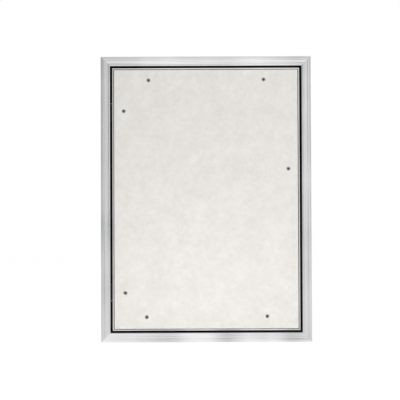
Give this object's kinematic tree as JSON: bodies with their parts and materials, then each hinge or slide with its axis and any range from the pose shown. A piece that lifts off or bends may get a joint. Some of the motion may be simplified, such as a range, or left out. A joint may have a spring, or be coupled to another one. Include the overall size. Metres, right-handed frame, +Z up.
{
  "type": "tileable access panel",
  "caption": "Aluminium wall frame with a hinged leaf that holds a flush board for tiling over, on concealed hinges and a push latch.",
  "frame": {"origin": "centre of the board's front face, in one plane with the front of the frame", "axes": "+X to the right seen from the room, +Y into the wall, +Z up"},
  "size_m": [0.42, 0.055, 0.57],
  "materials": {
    "aluminium_extrusion": "satin",
    "key_aluminium": "matte",
    "rivet_aluminium": "satin",
    "cement_board": "matte",
    "seal_rubber": "matte",
    "screw_zinc": "satin",
    "hinge_steel": "satin",
    "pin_steel": "satin",
    "washer_nylon": "matte",
    "latch_plastic": "matte",
    "plunger_plastic": "matte",
    "magnet_nickel": "gloss"
  },
  "bodies": {
    "frame": {"frame_top_rail": "aluminium_extrusion", "frame_bottom_rail": "aluminium_extrusion", "frame_left_stile": "aluminium_extrusion", "frame_right_stile": "aluminium_extrusion", "frame_corner_key_top_left": "key_aluminium", "frame_corner_key_top_right": "key_aluminium", "frame_corner_key_bottom_left": "key_aluminium", "frame_corner_key_bottom_right": "key_aluminium", "seal_top": "seal_rubber", "seal_bottom": "seal_rubber", "seal_left": "seal_rubber", "seal_right": "seal_rubber", "hinge_saddle_upper": "hinge_steel", "hinge_pin_upper": "pin_steel", "hinge_washers_upper": "washer_nylon", "saddle_rivets_upper": "rivet_aluminium", "hinge_saddle_lower": "hinge_steel", "hinge_pin_lower": "pin_steel", "hinge_washers_lower": "washer_nylon", "saddle_rivets_lower": "rivet_aluminium", "latch_bracket": "hinge_steel", "latch_rivets": "rivet_aluminium", "latch_barrel": "latch_plastic", "latch_nuts": "latch_plastic", "latch_end_cap": "latch_plastic", "latch_spring": "pin_steel"},
    "door": {"leaf_top_rail": "aluminium_extrusion", "leaf_bottom_rail": "aluminium_extrusion", "leaf_left_stile": "aluminium_extrusion", "leaf_right_stile": "aluminium_extrusion", "leaf_corner_key_top_left": "key_aluminium", "leaf_corner_key_top_right": "key_aluminium", "leaf_corner_key_bottom_left": "key_aluminium", "leaf_corner_key_bottom_right": "key_aluminium", "infill_board": "cement_board", "board_screws": "screw_zinc", "hinge_arm_upper": "hinge_steel", "hinge_arm_screws_upper": "screw_zinc", "hinge_arm_lower": "hinge_steel", "hinge_arm_screws_lower": "screw_zinc", "strike_plate": "hinge_steel", "strike_plate_screws": "screw_zinc"},
    "latch_plunger": {"latch_plunger": "plunger_plastic", "latch_magnet": "magnet_nickel"}
  },
  "joints": [
    {"name": "leaf_hinge", "type": "hinge", "parent": "frame", "child": "door", "pos_m": [-0.202, 0.008, 0], "axis": [0, 0, -1], "range_deg": [0, 95]},
    {"name": "latch_plunger_slide", "type": "slide", "parent": "frame", "child": "latch_plunger", "axis": [0, 1, 0], "range_m": [0, 0.003], "stiffness_N_per_m": 600, "deforming": ["latch_spring"]}
  ]
}
